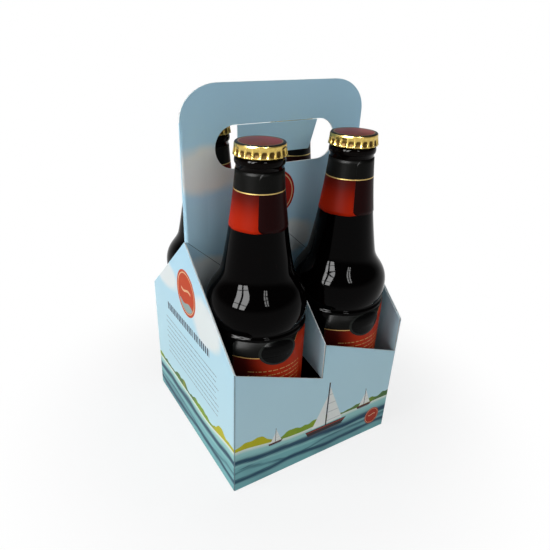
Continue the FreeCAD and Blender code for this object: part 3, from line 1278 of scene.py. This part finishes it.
@dataclass(frozen=True)
class CapFlutes:
    """The crown cap's sizes in millimetres, and the tree that crimps its skirt."""

    rim: float = 207.98
    height: float = 6.6
    disc: float = 12.8
    edge_drop: float = 1.6
    shoulder: float = 13.7
    radius: float = 14.4
    flute: float = 0.92
    ridge: float = 3.2
    fade_top: float = 0.84
    fade_slope: float = 2.2
    lip: float = 0.28
    lip_flare: float = 2.0
    sheet: float = 0.28
    count: int = 21
    around: int = 336
    rows: int = 10

    @property
    def inputs(self) -> dict[str, float]:
        """The crimping tree's named sizes, in metres and as a count."""
        return {"Flute depth": self.flute * MM, "Flutes": float(self.count),
                "Skirt foot": (self.rim - self.height) * MM,
                "Skirt height": (self.height - self.edge_drop * 0.4) * MM}

    def tree(self) -> NodeTree:
        """Write the tree that crimps a smooth skirt into flutes.

        Returns:
            A geometry tree with the skirt's sizes and its material as inputs.
        """
        group = bpy.data.node_groups.new("crimped_skirt", "GeometryNodeTree")
        sockets = [("Geometry", "Geometry", "INPUT"), ("Material", "Material", "INPUT"),
                   ("Geometry", "Geometry", "OUTPUT")]
        for name, kind, way in sockets:
            group.interface.new_socket(name, in_out=way, socket_type="NodeSocket" + kind)
        for name, size in self.inputs.items():
            socket = group.interface.new_socket(name, in_out="INPUT", socket_type="NodeSocketFloat")
            socket.default_value = size
        tree = Tree(group)
        start = tree.node("NodeGroupInput")
        depth, flutes, foot, height = (tree.output(start, name) for name in self.inputs)
        x, y, z = tree.parts(tree.output(tree.node("GeometryNodeInputPosition")))
        wave = tree.maths("COSINE", tree.maths("ARCTAN2", y, x) * flutes)
        valley = 1.0 - (0.5 + wave * 0.5) ** self.ridge
        up = (z - foot) / height
        fade = tree.maths("MINIMUM", (self.fade_top - up) * self.fade_slope, 1.0) | 0.0
        scoop = valley * (fade - (self.lip - up | 0.0) * self.lip_flare)
        share = scoop * depth * -1.0 / ((x * x + y * y) ** 0.5 | MM)
        crimp = tree.node("GeometryNodeSetPosition", inputs={
            "Geometry": tree.output(start, "Geometry"), "Offset": tree.point(x * share, y * share)})
        mark = tree.node("GeometryNodeStoreNamedAttribute", {"data_type": "FLOAT", "domain": "POINT"},
                         {"Geometry": tree.output(crimp), "Name": "scoop", "Value": scoop})
        whole = tree.node("GeometryNodeRealizeInstances", inputs={0: tree.output(mark)})
        lacquered = tree.node("GeometryNodeSetMaterial", inputs={
            "Geometry": tree.output(whole), "Material": tree.output(start, "Material")})
        tree.node("NodeGroupOutput", inputs={0: tree.output(lacquered)})
        return group

    def outline(self) -> list[Point]:
        """Points of the shell, out over its top, down the skirt and back inside.

        Returns:
            Radius and height of each point.
        """
        edge = self.rim - self.edge_drop
        outer = [(0.0, self.rim)]
        outer += arc((self.disc, edge), self.shoulder - self.disc, self.edge_drop, 90, 0, 6)
        for row in range(1, self.rows + 1):
            share = row / self.rows
            outer.append((self.shoulder + (self.radius - self.shoulder) * share ** 1.5,
                          edge - (self.height - self.edge_drop) * share))
        inner = [(radius - self.sheet, height) for radius, height in reversed(outer[2:])]
        return outer + [(self.radius - self.sheet * 0.6, self.rim - self.height)] + inner + [(0.0, edge)]

    def build(self, name: str, tree: NodeTree, gold: Material) -> Object:
        """Make a crimped shell about the axis, in metres, as a plain mesh.

        Args:
            name: The object's name.
            tree: The tree that crimps it.
            gold: Its material.

        Returns:
            The object, with its modifier already made real.
        """
        obj = place(name, lathe(self.outline(), self.around), Vector((0.0, 0.0, 0.0)))
        modifier = obj.modifiers.new("crimp", "NODES")
        modifier.node_group = tree
        named = {item.name: item.identifier for item in tree.interface.items_tree
                 if item.item_type == "SOCKET" and item.in_out == "INPUT"}
        for key, setting in (self.inputs | {"Material": gold}).items():
            modifier[named[key]] = setting
        return plain(obj)


def plain(obj: Object) -> Object:
    """Make an object's modifiers real and take them off.

    Args:
        obj: An object whose modifiers are live.

    Returns:
        The same object with a plain mesh.
    """
    bpy.context.view_layer.update()
    graph = bpy.context.evaluated_depsgraph_get()
    mesh = bpy.data.meshes.new_from_object(obj.evaluated_get(graph), depsgraph=graph)
    obj.modifiers.clear()
    old = obj.data
    obj.data = mesh
    bpy.data.meshes.remove(old)
    mesh.name = obj.name
    return obj


@dataclass
class Bottle:
    """One capped bottle with its labels, standing in a cell."""

    cell: Cell
    finishes: dict[str, Material]
    tree: NodeTree
    shape: BottleShape = BottleShape()
    cap: CapFlutes = CapFlutes()
    neck: Sheet = Sheet(start=-121.0, span=384.0, low=163.4, high=194.4, corner=3.0,
                        lift_start=0.17, lift_end=0.03, ripple=0.3, columns=180, rows=16)
    front: Sheet = Sheet(start=-146.0, span=104.0, low=24.0, high=104.2, corner=4.0,
                         lift_start=0.03, lift_end=0.03, columns=60, rows=8)
    cap_turn: float = 1.7
    disc_depth: float = 0.55
    foot: Vector = field(init=False)

    def __post_init__(self) -> None:
        """Find the foot of the bottle's axis, in metres."""
        low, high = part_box(self.node("glass_bottle"))
        self.foot = Vector(((low[0] + high[0]) / 2, (low[1] + high[1]) / 2, low[2]))

    def node(self, piece: str) -> str:
        """The name of one of this bottle's solids."""
        return piece + "_" + self.cell.tag

    def seat(self, obj: Object, piece: str, slot: str, *finishes: str) -> None:
        """Dress a piece, stand it for its solid and let it ride on the carrier.

        Args:
            obj: The piece.
            piece: The kind of solid that it stands for.
            slot: The record's material slot; not used.
            *finishes: Names of its finishes, or none if it has them already.
        """
        if finishes:
            wear(obj, *[self.finishes[name] for name in finishes])
        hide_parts(self.node(piece))
        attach(obj, "carrier")
        LOG.info("built %s, %d faces", obj.name, len(obj.data.polygons))

    def build(self) -> None:
        """Make the glass, the two labels and the cap."""
        glass = place(self.node("glass"), lathe(self.shape.outline()), self.foot)
        self.seat(glass, "glass_bottle", "brown_glass", "glass")
        for piece, sheet in (("neck_label", self.neck), ("body_label", self.front)):
            mesh = sheet.mesh(self.shape)
            mesh.transform(Matrix.Rotation(math.radians(self.cell.turn), 4, "Z"))
            paper = place(self.node(piece.replace("label", "paper")), mesh, self.foot)
            self.seat(paper, piece, "label_paper", piece)
        self.seat(self.make_cap(), "crown_cap", "cap_gold")

    def make_cap(self) -> Object:
        """Make the crimped shell and print its disc.

        Returns:
            The cap in its place.
        """
        cap = self.cap.build(self.node("cap"), self.tree, self.finishes["cap_gold"])
        cap.data.transform(Matrix.Translation(self.foot) @ Matrix.Rotation(
            math.radians(self.cell.turn * self.cap_turn), 4, "Z"))
        cap.data.materials.append(self.finishes["cap_print"])
        layer = cap.data.uv_layers.new(name="disc")
        top = self.foot.z + (self.cap.rim - self.disc_depth) * MM
        for face in cap.data.polygons:
            if face.center.z > top:
                face.material_index = 1
            for index in face.loop_indices:
                at = cap.data.vertices[cap.data.loops[index].vertex_index].co - self.foot
                layer.data[index].uv = (at.x / MM, at.y / MM)
        return cap

    def dress(self, frame: dict) -> None:
        """Give the hidden solids inside the bottle their finishes.
        """
        for piece, finish in (("beer", "beer"), ("cap_liner", "liner")):
            wear(frame["nodes"][self.node(piece)], self.finishes[finish])


@dataclass(frozen=True)
class PlainFinish:
    """A hidden piece's finish: one colour with a fine grain."""

    name: str
    colour: Colour
    grained: Colour
    roughness: float

    def make(self) -> Material:
        """Write the material.

        Returns:
            The finished material.
        """
        paint = Paint(self.name)
        grain = paint.noise(paint.where, 300.0, 2.0)
        return paint.finish(Base_Color=paint.mix(grain, self.colour, self.grained), Roughness=self.roughness)


@dataclass(frozen=True)
class PhotoCamera:
    """The photograph's camera, in millimetres, degrees and pixels of the photograph."""

    place: tuple[float, float, float] = (-162.41, -252.03, 261.31)
    yaw: float = 31.09
    pitch: float = 28.563
    roll: float = 1.592
    focal: float = 491.9
    middle: Point = (258.5, 291.5)

    def build(self) -> Object:
        """Stand the camera where the photograph was taken.

        Returns:
            The camera, which is also the scene's.
        """
        yaw, pitch, roll = (math.radians(angle) for angle in (self.yaw, self.pitch, self.roll))
        ahead = Vector((math.sin(yaw) * math.cos(pitch), math.cos(yaw) * math.cos(pitch), -math.sin(pitch)))
        right = Vector((math.cos(yaw), -math.sin(yaw), 0.0))
        over = right.cross(ahead)
        side = right * math.cos(roll) + over * math.sin(roll)
        up = over * math.cos(roll) - right * math.sin(roll)
        data = bpy.data.cameras.new("camera")
        data.lens = self.focal / PHOTO_WIDTH * data.sensor_width
        data.shift_x = (PHOTO_WIDTH / 2 - self.middle[0]) / PHOTO_WIDTH
        data.shift_y = (self.middle[1] - PHOTO_WIDTH / 2) / PHOTO_WIDTH
        data.clip_start = 0.01
        obj = bpy.data.objects.new("camera", data)
        turn = Matrix((side, up, -ahead)).transposed().to_4x4()
        obj.matrix_world = Matrix.Translation(Vector(self.place) * MM) @ turn
        bpy.context.scene.collection.objects.link(obj)
        bpy.context.scene.camera = obj
        return obj


@dataclass(frozen=True)
class Softbox:
    """A lamp with a rectangular face: where it stands, what it lights and how much."""

    name: str
    place: tuple[float, float, float]
    width: float
    height: float
    watts: float
    mirrored: bool = False
    aim: tuple[float, float, float] = (0.0, 0.0, 0.12)

    def build(self) -> None:
        """Stand the lamp and turn it to its aim."""
        data = bpy.data.lights.new(self.name, "AREA")
        data.shape = "RECTANGLE"
        data.size = self.width
        data.size_y = self.height
        data.energy = self.watts
        obj = bpy.data.objects.new(self.name, data)
        way = Vector(self.aim) - Vector(self.place)
        obj.location = self.place
        obj.rotation_euler = way.to_track_quat("-Z", "Y").to_euler()
        obj.visible_glossy = self.mirrored
        obj.visible_diffuse = not self.mirrored
        bpy.context.scene.collection.objects.link(obj)


@dataclass(frozen=True)
class Window:
    """A window's panes, which show in the glass: their bearing, height and distance."""

    bearing: float = 200.0
    climb: float = 40.0
    distance: float = 1.5
    pane_width: float = 0.3
    pane_height: float = 0.38
    gap: float = 0.11
    row_gap: float = 0.4
    columns: int = 2
    rows: int = 3
    watts: float = 27.0

    def build(self) -> None:
        """Hang the panes in rows and columns, square to the way to the carrier."""
        bearing, climb = math.radians(self.bearing), math.radians(self.climb)
        way = Vector((math.cos(bearing) * math.cos(climb), math.sin(bearing) * math.cos(climb),
                      math.sin(climb)))
        across = Vector((-math.sin(bearing), math.cos(bearing), 0.0))
        up = way.cross(across)
        for column in range(self.columns):
            for row in range(self.rows):
                side = (column - (self.columns - 1) / 2) * (self.pane_width + self.gap)
                rise = (row - (self.rows - 1) / 2) * (self.pane_height + self.gap * self.row_gap)
                at = way * self.distance + across * side + up * rise
                name = f"pane_{self.bearing:.0f}_{column}_{row}"
                Softbox(name, tuple(at), self.pane_width, self.pane_height, self.watts,
                        mirrored=True, aim=tuple(at - way)).build()


@dataclass(frozen=True)
class Studio:
    """The pale floor, the soft light and the white ground behind."""

    window: Window = Window()
    lattice: Window = Window(bearing=264.0, pane_width=0.07, pane_height=0.13, gap=0.05, watts=1.6)
    lamps: tuple[Softbox, ...] = (
        Softbox("left_key", (-1.5, 0.15, 0.9), 1.0, 1.0, 19.5),
        Softbox("front_fill", (0.1, -1.6, 0.9), 1.0, 1.0, 5.6),
        Softbox("top_fill", (0.3, -0.2, 1.7), 1.4, 1.4, 1.0),
    )
    soft: Colour = (0.9, 0.96, 1.0, 1.0)
    soft_strength: float = 0.2
    mirror_fall: tuple[float, float, float, float] = (0.02, 0.3, 1.0, 0.12)
    floor_radius: float = 4000.0
    floor_drop: float = -0.0002
    shadow_reach: Point = (90.0, 210.0)
    ground_share: Point = (0.8, 0.2)
    pale: tuple[Colour, Colour] = (ink(244, 244, 244), ink(248, 248, 248))

    def build(self) -> None:
        """Set the world, the floor and the lamps."""
        self.set_world()
        self.lay_floor()
        for piece in (self.window, self.lattice, *self.lamps):
            piece.build()
        bpy.context.scene.view_settings.view_transform = "Standard"

    def set_world(self) -> None:
        """Light softly from all round, and show a white ground to the camera and in mirrors."""
        world = bpy.data.worlds.new("studio")
        world.use_nodes = True
        tree = Tree(world.node_tree)
        path = tree.node("ShaderNodeLightPath")
        height = tree.parts(tree.output(tree.node("ShaderNodeTexCoord"), "Generated"))[2]
        ends = zip(("From Min", "From Max", "To Min", "To Max"), self.mirror_fall)
        fall = tree.output(tree.node("ShaderNodeMapRange", inputs={"Value": height, **dict(ends)}))
        soft, mirrored, white = (
            tree.node("ShaderNodeBackground", inputs={"Color": colour, "Strength": strength})
            for colour, strength in ((self.soft, self.soft_strength), (WHITE, fall), (WHITE, 1.0)))
        unseen = tree.blend(tree.output(path, "Is Glossy Ray"), soft, mirrored)
        whole = tree.blend(tree.output(path, "Is Camera Ray"), unseen, white)
        tree.node("ShaderNodeOutputWorld", inputs={"Surface": tree.output(whole)})
        bpy.context.scene.world = world

    def lay_floor(self) -> None:
        """Lay a pale floor that keeps the shadow near the carrier and whitens away from it."""
        mesh = bmesh.new()
        bmesh.ops.create_circle(mesh, cap_ends=True, radius=self.floor_radius, segments=64)
        floor = place("floor", mesh, Vector((0.0, 0.0, self.floor_drop)), smooth=False)
        if floor.data.polygons[0].normal.z < 0:
            floor.data.flip_normals()
        paint = Paint("pale_floor")
        x, y, _ = paint.millimetres()
        far = paint.rise((x * x + y * y) ** 0.5, *self.shadow_reach)
        path = paint.node("ShaderNodeLightPath")
        seen = paint.output(path, "Is Camera Ray") | paint.output(path, "Is Glossy Ray")
        matt = paint.node("ShaderNodeBsdfPrincipled", inputs={
            "Base Color": paint.mix(paint.noise(paint.where, 40.0, 2.0), *self.pale),
            "Roughness": 0.9, "Specular IOR Level": 0.1})
        glow = paint.node("ShaderNodeEmission", inputs={"Color": WHITE, "Strength": 1.0})
        blend = paint.blend(seen * (self.ground_share[0] + far * self.ground_share[1]), matt, glow)
        paint.node("ShaderNodeOutputMaterial", inputs={"Surface": paint.output(blend)})
        wear(floor, paint.material)


def main() -> None:
    """Build the camera and studio, dress the carton and build the four bottles."""
    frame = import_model()
    PhotoCamera().build()
    Studio().build()
    carton = Carton()
    carton.dress(frame)
    finishes = {
        "glass": BrownGlass().make(),
        "neck_label": NeckPaper(line_height=183.9, foot=162.4).make(),
        "body_label": BodyPaper(length=math.radians(Bottle.front.span) * Bottle.shape.body,
                                line_height=93.5, head=Bottle.front.high).make(),
        "cap_gold": CapGold().make(),
        "cap_print": CapPrint().make(),
        "beer": PlainFinish("beer", ink(52, 22, 8), ink(60, 28, 10), 0.1).make(),
        "liner": PlainFinish("liner", ink(216, 214, 206), ink(206, 204, 196), 0.6).make(),
    }
    tree = Bottle.cap.tree()
    for cell in Cell:
        bottle = Bottle(cell, finishes, tree)
        bottle.build()
        bottle.dress(frame)
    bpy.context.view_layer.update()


if __name__ == "__main__":
    logging.basicConfig(level=logging.INFO, format="%(message)s")
    main()
